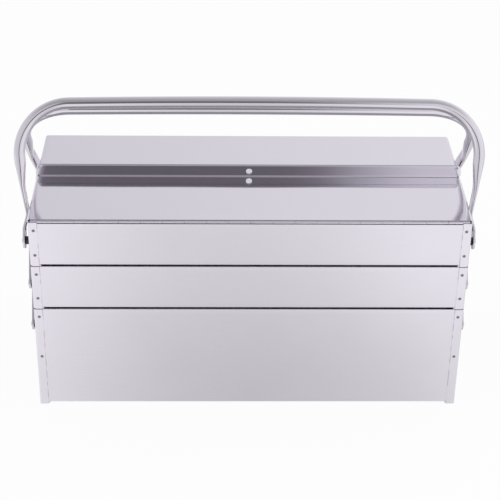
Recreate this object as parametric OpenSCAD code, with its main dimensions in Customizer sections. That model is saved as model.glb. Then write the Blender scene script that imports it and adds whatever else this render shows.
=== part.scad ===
// Five-tray cantilever tool box in folded stainless sheet.
// A deep base carries two middle trays and two top trays, front and rear.
// Each half opens outward on flat levers at both ends, each top tray has a
// hinged lid, and two tube handles lean together over the middle.
// Millimetres, +Z up, front towards -Y, origin at the middle of the underside.

/* [Box] */
// Length over the end panels
box_length = 530; // [420:1:640]
// Depth over the front and rear corner flanges
box_depth = 236; // [216:1:280]
// Height of the base up to its rim
base_height = 143; // [110:1:180]
// Height of a middle or top tray
tray_height = 61; // [56:1:80]
// Gap between the front and rear trays at the middle
tray_gap = 1.2; // [0.8:0.1:3]

/* [Sheet] */
// Thickness of the folded sheet
sheet = 0.8; // [0.6:0.1:1.0]
// Outer radius of the folds
fold_r = 2; // [1.4:0.1:3]
// Height of the folded-over edges
hem_h = 7; // [4:0.5:9]
// Width of the end panel flanges that lap over the walls
flange_w = 11; // [8:0.5:14]
// Height of the foot strips under each floor
foot_h = 2; // [1.2:0.1:3]
// Width of the foot strips
foot_w = 12; // [8:0.5:16]

/* [Spot welds] */
// Diameter of a weld dimple
weld_d = 3.2; // [2:0.1:4]
// Depth of a weld dimple
weld_depth = 0.3; // [0.1:0.05:0.4]
// Distance of the upper weld below the rim
weld_top = 11; // [9:0.5:14]
// Distance of a tray's lower weld below the rim
weld_tray_low = 45; // [30:0.5:50]
// Distance of the base's lower weld below its rim
weld_base_low = 70; // [50:1:90]
// Distance of the welds from the corner
weld_in = 6.5; // [5:0.1:7.5]

/* [Levers] */
// Distance of the outer pivots behind the front face
pivot_in = 40; // [38:0.5:42]
// Distance of the inner pivots from the middle
pivot_edge = 10; // [8.5:0.5:14]
// Height of a pivot above the bottom of its tray
pivot_rise = 14; // [13:0.5:18]
// Width of a lever
lever_w = 15; // [12:0.5:18]
// Thickness of a lever
lever_t = 2.5; // [2:0.1:3]

/* [Rivets] */
// Diameter of a rivet shank
rivet_d = 6; // [5:0.1:7]
// Diameter of a rivet head
rivet_head_d = 11; // [9:0.5:12]
// Height of an outer rivet head
rivet_head_h = 1.7; // [1.2:0.1:2.5]
// Diameter of the set head inside a tray
rivet_set_d = 10; // [8:0.5:11]
// Thickness of the set head inside a tray
rivet_set_t = 1; // [0.8:0.1:1.5]
// Outer diameter of a spacer bush
spacer_d = 10; // [9:0.5:12]
// Length of a lever's spacer bush
lever_spacer = 5.7; // [5:0.1:7]
// Length of a handle's spacer bush
handle_spacer = 8.8; // [8:0.1:9.5]
// Running clearance between a rivet and its hole
pivot_play = 0.08; // [0.02:0.01:0.1]
// Side play of a lever or handle on its rivet
side_play = 0.1; // [0.05:0.05:0.3]

/* [Lids] */
// Height of the lid's flat above the rim
lid_rise = 2; // [1.8:0.1:3]
// Depth of the lid's end skirts, outside the end panels
lid_skirt = 6; // [5:0.5:9]
// How far the lid ends reach past the end panels' outer faces
lid_overlap = 1.8; // [1.8:0.1:2.4]
// Radius of the lid's rounded ends
lid_edge_r = 4; // [3:0.5:4]
// Radius of the lid's outer corners in plan
lid_corner_r = 3; // [2:0.5:6]
// Height of the upright lip above the lid's flat
lip_h = 15.5; // [12:0.5:20]
// Height of the folded edge on top of the lip
lip_hem_h = 4.4; // [3:0.1:5]
// Radius of the lip's top corners
lip_corner_r = 8; // [4:0.5:11]
// Radius of the fold at the foot of the lip
lip_fold_r = 2.4; // [1.8:0.1:3]
// Diameter of the padlock hole
padlock_d = 8; // [6:0.1:9]
// Height of the padlock hole above the lid's flat
padlock_z = 6.9; // [5:0.1:7]
// Gap under the lid where it rests on the tray's inner wall
lid_rest_gap = 0.2; // [0.1:0.05:0.5]

/* [Piano hinges] */
// Distance of a piano hinge's ends from the ends of the box
hinge_inset = 2.5; // [2.5:0.5:60]
// Number of knuckles along a hinge
knuckles = 20; // [8:2:30]
// Outer diameter of the knuckles
knuckle_d = 3.4; // [3:0.1:3.6]
// Diameter of the hinge pin
hinge_pin_d = 1.8; // [1.2:0.1:1.8]
// Thickness of the hinge leaves
leaf_t = 0.7; // [0.5:0.1:0.7]
// Width of the hinge leaves
leaf_w = 13; // [8:0.5:20]
// Clearance of the hinge pin in the knuckles
hinge_play = 0.05; // [0.02:0.01:0.1]
// Gap between neighbouring knuckles and round the opposite knuckles
knuckle_gap = 0.3; // [0.2:0.05:0.6]
// Set-back of the tray wall below the hinge axis
hinge_wall_drop = 1.3; // [1:0.1:2]

/* [Handles] */
// Diameter of the handle tube
tube_d = 14; // [12:0.1:16]
// Wall of the handle tube
tube_wall = 1.5; // [1:0.1:2]
// Distance from the handle pivots to the grip bar
handle_reach = 169.6; // [150:0.1:180]
// Radius of the tube's corner bends
bend_r = 62; // [50:1:66]
// Splay of the legs
splay = 4.4; // [3:0.1:6]
// Thickness of the flattened leg ends
flat_t = 3.2; // [2.8:0.1:4]
// Width of the flattened leg ends
flat_w = 20; // [16:0.5:22]
// Height above the pivot of the flat end plate
flat_top = 16; // [13:1:18]
// Height above the pivot where the leg is pinched towards the end panel
neck_z = 33; // [28:1:40]
// How far inward of the end plate the pinched leg lies
neck_in = 4.9; // [3:0.1:5]
// How far inward of the end plate the leg's straight line would begin
leg_in = 1.8; // [0:0.1:3]
// Height above the pivot where the leg is half flattened
press_mid = 68; // [55:1:76]
// Thickness of the half flattened leg
press_mid_t = 5.4; // [4.6:0.1:7]
// Width of the half flattened leg
press_mid_w = 18; // [15:0.5:19]
// Height above the pivot where the leg is round again
press_top = 96; // [85:1:98]
// Gap between the two grip bars where they lean together
bar_gap = 0.3; // [0.3:0.1:2]

/* [Hidden] */
$fn = 64;
// Facets round a hull's own children
hull_fn = 32;
// Facets round the handle tubes
tube_fn = 48;
// Small overlap that joins solids of one piece
joint = 0.02;
// Finish colours
brushed = [0.82, 0.81, 0.84];
polished = [0.72, 0.71, 0.75];
bush_black = [0.12, 0.12, 0.13];

// Outer faces of the end panels and of the corner flanges
half_len = box_length / 2;
half_dep = box_depth / 2;
// Inner face of an end panel, and where the folded bodies stop at its corner folds
wall_end = half_len - sheet;
body_end = half_len - fold_r;
// Outer faces of the outer and inner tray walls, inside the lapped flanges
wall_out = half_dep - sheet;
mid_face = tray_gap / 2;
wall_in = mid_face + sheet;
// Bottom levels of the trays and the top rim
mid_z = base_height;
top_z = base_height + tray_height;
rim_z = top_z + tray_height;
// Clear strip beside a folded edge, so that neighbouring folds do not meet
fold_play = 0.2;
// Gap between a lid's front edge and the knuckles
lid_edge_play = 0.1;
// How far a cut runs past the faces that it opens
past = 1;

// Pivot rows, counted inward from the outer one, and their distance
pivot_pitch = (half_dep - pivot_in - pivot_edge) / 2;
row_y = [half_dep - pivot_in, half_dep - pivot_in - pivot_pitch,
    half_dep - pivot_in - 2 * pivot_pitch];
// Pivot heights on the base, the middle trays and the top trays
base_pivot_z = mid_z + pivot_rise - tray_height;
mid_pivot_z = mid_z + pivot_rise;
top_pivot_z = top_z + pivot_rise;
lever_lean = atan(pivot_pitch / tray_height);
stage = sqrt(pivot_pitch * pivot_pitch + tray_height * tray_height);
rivet_r = rivet_d / 2;
bore_r = rivet_r + pivot_play;

// Lid levels and edges
lid_top = rim_z + lid_rise;
lid_under = lid_top - sheet;
lid_end = half_len + lid_overlap;
lip_top = lid_top + lip_h;
// Where the flat ends and the end rolls and the lip's fold begin
lid_flat = lid_end - lid_edge_r;
lip_fold_y = mid_face + lip_fold_r;
// Hinge axis: the knuckles are tangent to the tray wall and to the lid's underside
knuckle_r = knuckle_d / 2;
hinge_y = wall_out - sheet - knuckle_r;
hinge_z = lid_under - knuckle_r;
lid_front = hinge_y - knuckle_r - lid_edge_play;
hinge_length = box_length - 2 * hinge_inset;
pitch_x = hinge_length / knuckles;

// Handle layout: the front bar rests on the rear bar, in line with the rear legs
tube_r = tube_d / 2;
pivot_span = 2 * row_y[0];
far_reach = handle_reach + tube_d + bar_gap;
rear_lean = 90 - acos((pivot_span * pivot_span + far_reach * far_reach
    - handle_reach * handle_reach) / (2 * pivot_span * far_reach));
front_lean = 90 - acos((pivot_span * pivot_span + handle_reach * handle_reach
    - far_reach * far_reach) / (2 * pivot_span * handle_reach));
handle_x = half_len + handle_spacer + side_play + flat_t / 2;
bend_z = handle_reach - bend_r;
// Each bend reaches this angle into the straights, and is this much slimmer there
bend_lap = 1;
bend_step = 0.03;
// Height above the pivot from which the leg's straight line splays
leg_rise = 25;
// Plugs where the pressed legs join the tube and the end plates
plug_h = 2;
plug_step = 0.1;
leg_top_z = bend_z - bend_r * sin(splay);
leg_top_x = handle_x - leg_in + (leg_top_z - leg_rise) * tan(splay);
bend_x = leg_top_x - bend_r * cos(splay);

// Extrudes a Y-Z outline along X
module along_x(length) {
    rotate([90, 0, 90]) linear_extrude(length, center = true) children();
}

// Quarter ring of a fold, opening from the given angle
module fold(start, r) {
    intersection() {
        difference() {
            circle(r);
            circle(r - sheet);
        }
        rotate(start) square(r + past);
    }
}

// Y-Z outline of a tray folded from one sheet, with its two walls and hems
module tray_outline(y0, y1, z0, top0, top1, hem0, hem1) {
    translate([y0, z0 + fold_r]) square([sheet, top0 - z0 - fold_r]);
    translate([y1 - sheet, z0 + fold_r]) square([sheet, top1 - z0 - fold_r]);
    translate([y0 + fold_r, z0]) square([y1 - y0 - 2 * fold_r, sheet]);
    translate([y0 + fold_r, z0 + fold_r]) fold(180, fold_r);
    translate([y1 - fold_r, z0 + fold_r]) fold(270, fold_r);
    if (hem0 > 0) translate([y0 + sheet, top0 - hem0]) square([sheet, hem0]);
    if (hem1 > 0) translate([y1 - 2 * sheet, top1 - hem1]) square([sheet, hem1]);
}

module base_body() {
    color(brushed) along_x(2 * body_end)
        tray_outline(-wall_out, wall_out, foot_h, mid_z, mid_z, hem_h, hem_h);
}

// Front tray shell; the rear one is its mirror image
module half_body(z0, out_top, in_top, out_hem) {
    color(brushed) along_x(2 * body_end)
        tray_outline(-wall_out, -wall_in, z0 + foot_h, out_top, in_top, out_hem, hem_h);
}

// X-Y outline of a right-hand end panel with its two lapped flanges
module end_outline(y0, y1) {
    translate([half_len - sheet, y0 + fold_r]) square([sheet, y1 - y0 - 2 * fold_r]);
    translate([half_len - fold_r, y0 + fold_r]) fold(270, fold_r);
    translate([half_len - fold_r, y1 - fold_r]) fold(0, fold_r);
    translate([half_len - flange_w, y0]) square([flange_w - fold_r, sheet]);
    translate([half_len - flange_w, y1 - sheet]) square([flange_w - fold_r, sheet]);
}

// Row of X-axis cylinders at the given depths
module pivot_bores(rows, z, r) {
    for (y = rows) translate([wall_end - past, y, z]) rotate([0, 90, 0])
        cylinder(h = sheet + 2 * past, r = r);
}

// Spot weld dimple on a flange face at y, looking outward along side
module weld(y, z, side) {
    translate([half_len - weld_in, y - side * weld_depth, z]) rotate([-side * 90, 0, 0])
        cylinder(h = weld_depth + past, r = weld_d / 2);
}

// Right-hand end panel between two depths and two levels
module end_panel(y0, y1, z0, z1, rows, pivot_z, low_weld, in0, in1) {
    color(brushed) difference() {
        union() {
            translate([0, 0, z0]) linear_extrude(z1 - z0) end_outline(y0, y1);
            // Edge folded over inside the rim
            translate([wall_end - sheet, y0 + in0, z1 - hem_h])
                cube([sheet + joint, y1 - y0 - in0 - in1, hem_h]);
            // Strip folded in under the floor
            translate([wall_end - foot_w, y0 + fold_r, z0])
                cube([foot_w + joint, y1 - y0 - 2 * fold_r, foot_h]);
        }
        pivot_bores(rows, pivot_z, rivet_r);
        for (drop = [weld_top, low_weld]) {
            weld(y0, z1 - drop, -1);
            weld(y1, z1 - drop, 1);
        }
    }
}

module base_end() {
    rows = [-row_y[0], -row_y[1], row_y[0], row_y[1]];
    edge = 3 * sheet + fold_play;
    end_panel(-half_dep, half_dep, 0, mid_z, rows, base_pivot_z, weld_base_low, edge, edge);
}

// End panel of a front tray
module half_end(z0) {
    rows = [-row_y[0], -row_y[1], -row_y[2]];
    edge = 3 * sheet + fold_play;
    end_panel(-half_dep, -mid_face, z0, z0 + tray_height, rows, z0 + pivot_rise,
        weld_tray_low, edge, edge);
}

// Domed rivet along X from inside the panel to past a plate of thickness t
module rivet(spacer, t) {
    head_x = half_len + spacer + t + 2 * side_play;
    dome_r = (rivet_head_h * rivet_head_h + rivet_head_d * rivet_head_d / 4)
        / (2 * rivet_head_h);
    translate([wall_end - rivet_set_t, 0, 0]) rotate([0, 90, 0])
        cylinder(h = rivet_set_t, r = rivet_set_d / 2);
    translate([wall_end - joint, 0, 0]) rotate([0, 90, 0])
        cylinder(h = head_x - wall_end + 2 * joint, r = rivet_r);
    translate([head_x, 0, 0]) rotate([0, 90, 0]) rotate_extrude() intersection() {
        translate([0, rivet_head_h - dome_r]) circle(dome_r);
        square([rivet_head_d / 2, rivet_head_h]);
    }
}

// Bush that holds a lever or handle off the end panel
module spacer(length) {
    translate([half_len, 0, 0]) rotate([0, 90, 0]) difference() {
        cylinder(h = length, r = spacer_d / 2);
        translate([0, 0, -past]) cylinder(h = length + 2 * past, r = rivet_r);
    }
}

// Places children at each depth of a row at both ends of the box
module both_ends(rows, z) {
    for (end = [0, 1]) mirror([end, 0, 0])
        for (y = rows) translate([0, y, z]) children();
}

module base_rivets() {
    color(polished) both_ends([-row_y[0], -row_y[1], row_y[0], row_y[1]], base_pivot_z)
        rivet(lever_spacer, lever_t);
}

module base_spacers() {
    color(bush_black) both_ends([-row_y[0], -row_y[1], row_y[0], row_y[1]], base_pivot_z)
        spacer(lever_spacer);
}

module mid_rivets() {
    color(polished) both_ends([-row_y[0], -row_y[1], -row_y[2]], mid_pivot_z)
        rivet(lever_spacer, lever_t);
}

module mid_spacers() {
    color(bush_black) both_ends([-row_y[0], -row_y[1], -row_y[2]], mid_pivot_z)
        spacer(lever_spacer);
}

module top_rivets() {
    color(polished) {
        both_ends([-row_y[1], -row_y[2]], top_pivot_z) rivet(lever_spacer, lever_t);
        both_ends([-row_y[0]], top_pivot_z) rivet(handle_spacer, flat_t);
    }
}

module top_spacers() {
    color(bush_black) {
        both_ends([-row_y[1], -row_y[2]], top_pivot_z) spacer(lever_spacer);
        both_ends([-row_y[0]], top_pivot_z) spacer(handle_spacer);
    }
}

// Right-hand flat lever from a lower pivot, leaning inward over a number of stages
module lever(y, z, stages) {
    length = stages * stage;
    color(polished) translate([half_len + lever_spacer + side_play, y, z])
        rotate([-lever_lean, 0, 0]) rotate([90, 0, 90]) linear_extrude(lever_t) difference() {
            union() {
                circle(lever_w / 2);
                translate([0, length]) circle(lever_w / 2);
                translate([-lever_w / 2, 0]) square([lever_w, length]);
            }
            for (i = [0 : stages]) translate([0, i * stage]) circle(bore_r);
        }
}

module long_lever() {
    lever(-row_y[0], base_pivot_z, 2);
}

module lower_lever() {
    lever(-row_y[1], base_pivot_z, 1);
}

module upper_lever() {
    lever(-row_y[0], mid_pivot_z, 1);
}

// Y-Z outline of the lid's flat, the fold at its inner edge and the lip's foot
module lid_outline() {
    translate([-lid_front, lid_under]) square([lid_front - lip_fold_y, sheet]);
    translate([-lip_fold_y, lid_under + lip_fold_r]) fold(270, lip_fold_r);
}

// X-Z outline of the upright lip with its rounded top corners
module lip_outline() {
    foot_z = lid_under + lip_fold_r;
    for (side = [-1, 1])
        translate([side * (lid_end - lip_corner_r), lip_top - lip_corner_r])
            circle(lip_corner_r);
    translate([-lid_end, foot_z]) square([2 * lid_end, lip_top - lip_corner_r - foot_z]);
    translate([-lid_end + lip_corner_r, foot_z])
        square([2 * (lid_end - lip_corner_r), lip_top - foot_z]);
}

// Stands an X-Z outline up between two depths
module along_y(y0, y1) {
    translate([0, y1, 0]) rotate([90, 0, 0]) linear_extrude(y1 - y0) children();
}

// Right-hand end of the lid rolled down into its skirt
module lid_end_roll() {
    along_y(-lid_front, -lip_fold_y) {
        translate([lid_flat, lid_top - lid_edge_r]) fold(0, lid_edge_r);
        translate([lid_end - sheet, lid_top - lid_skirt])
            square([sheet, lid_skirt - lid_edge_r]);
    }
}

// What is rounded off at the lid's right-hand front corner
module lid_corner_cut() {
    translate([lid_end - lid_corner_r, -lid_front + lid_corner_r, lid_top - lid_skirt - past])
        linear_extrude(lid_skirt + 2 * past) difference() {
            translate([0, -lid_corner_r - past]) square(lid_corner_r + past);
            circle(lid_corner_r);
        }
}

// Front lid: flat sheet with rolled ends, fold and upright lip with its hem
module front_lid() {
    color(polished) difference() {
        union() {
            along_x(2 * lid_flat) lid_outline();
            for (end = [0, 1]) mirror([end, 0, 0]) lid_end_roll();
            along_y(-mid_face - sheet, -mid_face) lip_outline();
            along_y(-mid_face - 2 * sheet, -mid_face - sheet) intersection() {
                lip_outline();
                translate([-lid_end, lip_top - lip_hem_h]) square([2 * lid_end, lip_hem_h]);
            }
        }
        for (end = [0, 1]) mirror([end, 0, 0]) lid_corner_cut();
        translate([0, 0, lid_top + padlock_z]) rotate([90, 0, 0])
            cylinder(h = mid_face + 3 * sheet, r = padlock_d / 2);
    }
}

// Knuckles of one leaf, every second one along the hinge
module hinge_knuckles(first) {
    for (i = [first : 2 : knuckles - 1])
        translate([-hinge_length / 2 + i * pitch_x + knuckle_gap / 2, -hinge_y, hinge_z])
            rotate([0, 90, 0]) cylinder(h = pitch_x - knuckle_gap, r = knuckle_r);
}

// Room round the other leaf's knuckles and the pin's bore
module hinge_cuts(first) {
    for (i = [first : 2 : knuckles - 1])
        translate([-hinge_length / 2 + i * pitch_x - knuckle_gap / 2, -hinge_y, hinge_z])
            rotate([0, 90, 0]) cylinder(h = pitch_x + knuckle_gap, r = knuckle_r + knuckle_gap);
    translate([0, -hinge_y, hinge_z]) rotate([0, 90, 0])
        cylinder(h = box_length, r = hinge_pin_d / 2 + hinge_play, center = true);
}

// Leaf fixed inside the tray's front wall
module hinge_tray_leaf() {
    color(brushed) difference() {
        union() {
            translate([-hinge_length / 2, -hinge_y - knuckle_r, hinge_z - leaf_w])
                cube([hinge_length, leaf_t, leaf_w]);
            hinge_knuckles(0);
        }
        hinge_cuts(1);
    }
}

// Leaf fixed under the lid's front edge
module hinge_lid_leaf() {
    color(brushed) difference() {
        union() {
            translate([-hinge_length / 2, -hinge_y, hinge_z + knuckle_r - leaf_t])
                cube([hinge_length, leaf_w, leaf_t]);
            hinge_knuckles(1);
        }
        hinge_cuts(0);
    }
}

module hinge_pin() {
    color(polished) translate([-hinge_length / 2, -hinge_y, hinge_z]) rotate([0, 90, 0])
        cylinder(h = hinge_length, r = hinge_pin_d / 2);
}

// Slice across a leg, round or pressed flat, with its width along Y
module leg_slice(t, w, h) {
    for (side = [-1, 1]) translate([0, side * (w - t) / 2, 0])
        cylinder(h = h, r = t / 2, $fn = hull_fn);
}

// Leg centre in X at a height above the pivot
function leg_x(z) = handle_x - leg_in + (z - leg_rise) * tan(splay);

// The handle's round tube from leg to leg, of the given radius
module tube_run(r) {
    turn = 90 + splay + 2 * bend_lap;
    translate([0, 0, handle_reach]) rotate([0, 90, 0])
        cylinder(h = 2 * bend_x, r = r, center = true);
    for (end = [0, 1]) mirror([end, 0, 0]) {
        translate([bend_x, 0, bend_z]) rotate([90, 0, 0]) rotate([0, 0, -splay - bend_lap])
            rotate_extrude(angle = turn) translate([bend_r, 0]) circle(r - bend_step);
        translate([leg_x(press_top), 0, press_top]) rotate([0, splay, 0])
            cylinder(h = (leg_top_z - press_top) / cos(splay), r = r);
    }
}

// Right-hand flattened leg with its rivet bore
module flat_leg() {
    difference() {
        union() {
            // Round to half flat, its top plugged into the tube
            hull() {
                translate([leg_x(press_top), 0, press_top]) rotate([0, splay, 0])
                    leg_slice(tube_d - plug_step, tube_d - plug_step, plug_h);
                translate([leg_x(press_mid), 0, press_mid])
                    leg_slice(press_mid_t, press_mid_w, joint);
            }
            // Half flat to the pinched neck
            hull() {
                translate([leg_x(press_mid), 0, press_mid - joint])
                    leg_slice(press_mid_t, press_mid_w, joint);
                translate([handle_x - neck_in, 0, neck_z]) leg_slice(flat_t, flat_w, joint);
            }
            // Neck to end plate, its foot set into the plate
            hull() {
                translate([handle_x - neck_in, 0, neck_z - joint])
                    leg_slice(flat_t, flat_w, joint);
                translate([handle_x, 0, flat_top - plug_h])
                    leg_slice(flat_t - plug_step, flat_w - plug_step, plug_h);
            }
            translate([handle_x - flat_t / 2, 0, 0]) rotate([90, 0, 90]) linear_extrude(flat_t) {
                circle(flat_w / 2);
                translate([-flat_w / 2, 0]) square([flat_w, flat_top]);
            }
        }
        translate([half_len, 0, 0]) rotate([0, 90, 0]) cylinder(h = 2 * flat_w, r = bore_r);
    }
}

// Whole handle standing upright over its pivot line
module handle() {
    $fn = tube_fn;
    color(polished) union() {
        difference() {
            tube_run(tube_r);
            tube_run(tube_r - tube_wall);
        }
        for (end = [0, 1]) mirror([end, 0, 0]) flat_leg();
    }
}

module front_handle() {
    translate([0, -row_y[0], top_pivot_z]) rotate([-front_lean, 0, 0]) handle();
}

module rear_handle() {
    translate([0, row_y[0], top_pivot_z]) rotate([rear_lean, 0, 0]) handle();
}

// Mirror images for the left end and for the rear half
module left() {
    mirror([1, 0, 0]) children();
}

module rear() {
    mirror([0, 1, 0]) children();
}

module mid_body() {
    half_body(mid_z, top_z, top_z, hem_h);
}

module top_body() {
    half_body(top_z, hinge_z - hinge_wall_drop, lid_under - lid_rest_gap, 0);
}

base_body();
left() base_end();  // base_end_left
base_end();  // base_end_right
base_rivets();
base_spacers();
mid_body();  // front_mid_body
left() half_end(mid_z);  // front_mid_end_left
half_end(mid_z);  // front_mid_end_right
mid_rivets();  // front_mid_rivets
mid_spacers();  // front_mid_spacers
rear() mid_body();  // rear_mid_body
left() rear() half_end(mid_z);  // rear_mid_end_left
rear() half_end(mid_z);  // rear_mid_end_right
rear() mid_rivets();  // rear_mid_rivets
rear() mid_spacers();  // rear_mid_spacers
top_body();  // front_top_body
left() half_end(top_z);  // front_top_end_left
half_end(top_z);  // front_top_end_right
top_rivets();  // front_top_rivets
top_spacers();  // front_top_spacers
rear() top_body();  // rear_top_body
left() rear() half_end(top_z);  // rear_top_end_left
rear() half_end(top_z);  // rear_top_end_right
rear() top_rivets();  // rear_top_rivets
rear() top_spacers();  // rear_top_spacers
front_lid();
rear() front_lid();  // rear_lid
hinge_tray_leaf();  // front_hinge_tray_leaf
hinge_lid_leaf();  // front_hinge_lid_leaf
hinge_pin();  // front_hinge_pin
rear() hinge_tray_leaf();  // rear_hinge_tray_leaf
rear() hinge_lid_leaf();  // rear_hinge_lid_leaf
rear() hinge_pin();  // rear_hinge_pin
left() long_lever();  // front_long_lever_left
long_lever();  // front_long_lever_right
left() lower_lever();  // front_lower_lever_left
lower_lever();  // front_lower_lever_right
left() upper_lever();  // front_upper_lever_left
upper_lever();  // front_upper_lever_right
left() rear() long_lever();  // rear_long_lever_left
rear() long_lever();  // rear_long_lever_right
left() rear() lower_lever();  // rear_lower_lever_left
rear() lower_lever();  // rear_lower_lever_right
left() rear() upper_lever();  // rear_upper_lever_left
rear() upper_lever();  // rear_upper_lever_right
front_handle();
rear_handle();
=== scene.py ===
"""Dresses the cantilever tool box: folded satin sheet, mirror lids, bent tube handles."""
import logging
from dataclasses import dataclass, field
from enum import Enum
from typing import Optional, Sequence, Union

import bmesh
import bpy
import numpy as np
from mathutils import Matrix


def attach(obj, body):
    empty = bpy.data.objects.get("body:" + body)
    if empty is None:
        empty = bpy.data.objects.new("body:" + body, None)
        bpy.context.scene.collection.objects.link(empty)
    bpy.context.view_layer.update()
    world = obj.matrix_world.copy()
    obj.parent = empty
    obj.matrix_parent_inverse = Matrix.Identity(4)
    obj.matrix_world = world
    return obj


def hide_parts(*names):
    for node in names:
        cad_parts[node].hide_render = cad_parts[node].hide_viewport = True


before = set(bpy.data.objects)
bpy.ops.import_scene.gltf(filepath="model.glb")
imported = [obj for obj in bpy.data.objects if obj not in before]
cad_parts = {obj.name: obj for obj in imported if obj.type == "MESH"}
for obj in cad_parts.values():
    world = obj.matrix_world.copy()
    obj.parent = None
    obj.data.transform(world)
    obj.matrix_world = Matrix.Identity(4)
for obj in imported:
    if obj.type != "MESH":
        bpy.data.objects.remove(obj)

LOG = logging.getLogger("tool_box")
MM = 0.001
# Point attribute for the dark colour: real weld heat tint at the dimples, and painted shade
# along the flange seams.
MARK = "weld_mark"
MERGE_DISTANCE = 2e-6
STEP = 6.0
FOLD_SPANS = 6
ROLL_SPANS = 8
Array = np.ndarray
Colour = tuple[float, float, float]
Span = tuple[float, float]


# Sizes

class Named(Enum):
    """A choice whose name stands in the frame's node names."""

    @property
    def word(self) -> str:
        """Name in small letters."""
        return self.name.lower()


class Side(Named):
    """Front or rear half of the box, with the sign of its Y direction."""

    FRONT = -1
    REAR = 1


class Level(Named):
    """A tray level, with how many swinging trays lie below it."""

    MID = 0
    TOP = 1


@dataclass(frozen=True)
class BoxSizes:
    """Sizes shared by the whole box, in millimetres, as in the part's source."""

    half_len: float = 265.0
    half_dep: float = 118.0
    base_height: float = 143.0
    tray_height: float = 61.0
    mid_face: float = 0.6
    sheet: float = 0.8
    fold_r: float = 2.0
    hem_h: float = 7.0
    flange_w: float = 11.0
    foot_h: float = 2.0
    foot_w: float = 12.0
    pivot_in: float = 40.0
    pivot_pitch: float = 34.0
    pivot_rise: float = 14.0

    def rows(self) -> list[float]:
        """Depths of the pivot rows, counted inward from the outer one."""
        outer = self.half_dep - self.pivot_in
        return [outer, outer - self.pivot_pitch, outer - 2 * self.pivot_pitch]

    def tray_z(self, level: Level) -> float:
        """Height of the lowest edge of a level's trays."""
        return self.base_height + level.value * self.tray_height

    def pivot_z(self, stage: int) -> float:
        """Height of the pivots of the base (0), the middle (1) or the top trays (2)."""
        return self.base_height + self.pivot_rise + (stage - 1) * self.tray_height

    @property
    def rim_z(self) -> float:
        """Height of the top trays' rims."""
        return self.base_height + 2 * self.tray_height


SIZES = BoxSizes()


# Surfaces

def smooth_step(x: Array) -> Array:
    """Cubic ease 3x^2 - 2x^3 of x held between 0 and 1."""
    t = np.clip(x, 0.0, 1.0)
    return t * t * (3 - 2 * t)


def arc(centre: Sequence[float], radius: float, start: float, end: float, steps: int
        ) -> Array:
    """Points of a circular arc: centre + radius (cos a, sin a).

    Args:
        centre: middle of the arc.
        radius: its radius.
        start: first angle in degrees.
        end: last angle in degrees.
        steps: number of spans.
    Returns:
        Array of steps + 1 points.
    """
    a = np.radians(np.linspace(start, end, steps + 1))
    return np.stack([centre[0] + radius * np.cos(a), centre[1] + radius * np.sin(a)], -1)


def path_of(*pieces: Array) -> Array:
    """Joins runs of points into one path and drops points that repeat.

    Args:
        pieces: arrays of points, each a run of the path.
    Returns:
        The whole path.
    """
    closest = 1e-6
    pts = np.concatenate([np.atleast_2d(np.asarray(p, float)) for p in pieces])
    return pts[np.r_[True, np.linalg.norm(np.diff(pts, axis=0), axis=1) > closest]]


def points_of(*parts: Union[float, Array]) -> Array:
    """Points from coordinates that spread to one common shape."""
    return np.stack(np.broadcast_arrays(*parts), -1)


def refine(path: Array, longest: float) -> Array:
    """Splits the spans of a path so that none is longer than a given length.

    Args:
        path: points of the path.
        longest: longest span wanted.
    Returns:
        The path with points added along its straight spans.
    """
    spans = np.diff(path, axis=0)
    counts = np.maximum(1, np.ceil(np.linalg.norm(spans, axis=1) / longest)).astype(int)
    start = np.repeat(np.arange(len(counts)), counts)
    first = np.repeat(np.cumsum(counts) - counts, counts)
    share = (np.arange(counts.sum()) - first) / counts[start]
    return np.vstack([path[start] + spans[start] * share[:, None], path[-1]])


def left_normals(path: Array) -> Array:
    """Normals on the left of a path, longer at corners so that an offset stays even.

    N = left of (ahead + behind), of length 1 / sqrt((1 + ahead . behind) / 2).

    Args:
        path: points of the path.
    Returns:
        One normal for each point.
    """
    sharpest = 0.3
    step = np.diff(path, axis=0)
    step /= np.linalg.norm(step, axis=1, keepdims=True)
    ahead, behind = np.vstack([step, step[-1:]]), np.vstack([step[:1], step])
    both = ahead + behind
    normal = points_of(-both[:, 1], both[:, 0])
    normal /= np.linalg.norm(normal, axis=1, keepdims=True)
    reach = np.sqrt(np.clip((1 + (ahead * behind).sum(1)) / 2, sharpest, 1))
    return normal / reach[:, None]


def stations(low: float, high: float, spacing: float, fine: Sequence[float] = (),
             fine_reach: float = 3.0, fine_spacing: float = 0.45,
             closest: float = 0.05) -> Array:
    """Places along a line, closer together round some of them.

    Args:
        low: first place.
        high: last place.
        spacing: usual distance.
        fine: places that need closer stations.
        fine_reach: how far the closer stations reach.
        fine_spacing: their distance.
        closest: smallest distance left between two places.
    Returns:
        Rising array of places.
    """
    runs = [np.linspace(low, high, max(2, int(np.ceil((high - low) / spacing)) + 1))]
    count = int(2 * fine_reach / fine_spacing) + 1
    runs += [np.linspace(f - fine_reach, f + fine_reach, count) for f in fine]
    every = np.unique(np.round(np.concatenate(runs), 4))
    every = every[(every >= low) & (every <= high)]
    every = every[np.r_[True, np.diff(every) > closest]]
    every[-1] = high
    return every


def eased(z: Array, places: Sequence[float], values: Sequence[float], reach: float
          ) -> Array:
    """Straight-line blend whose corners a running mean rounds.

    Args:
        z: where it is wanted.
        places: where the values are given.
        values: value at each of those places.
        reach: half the width of the running mean, in whole millimetres.
    Returns:
        Value at each z.
    """
    shifts = np.linspace(-reach, reach, int(2 * reach) + 1)
    return np.mean([np.interp(z + shift, places, values) for shift in shifts], 0)


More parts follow.
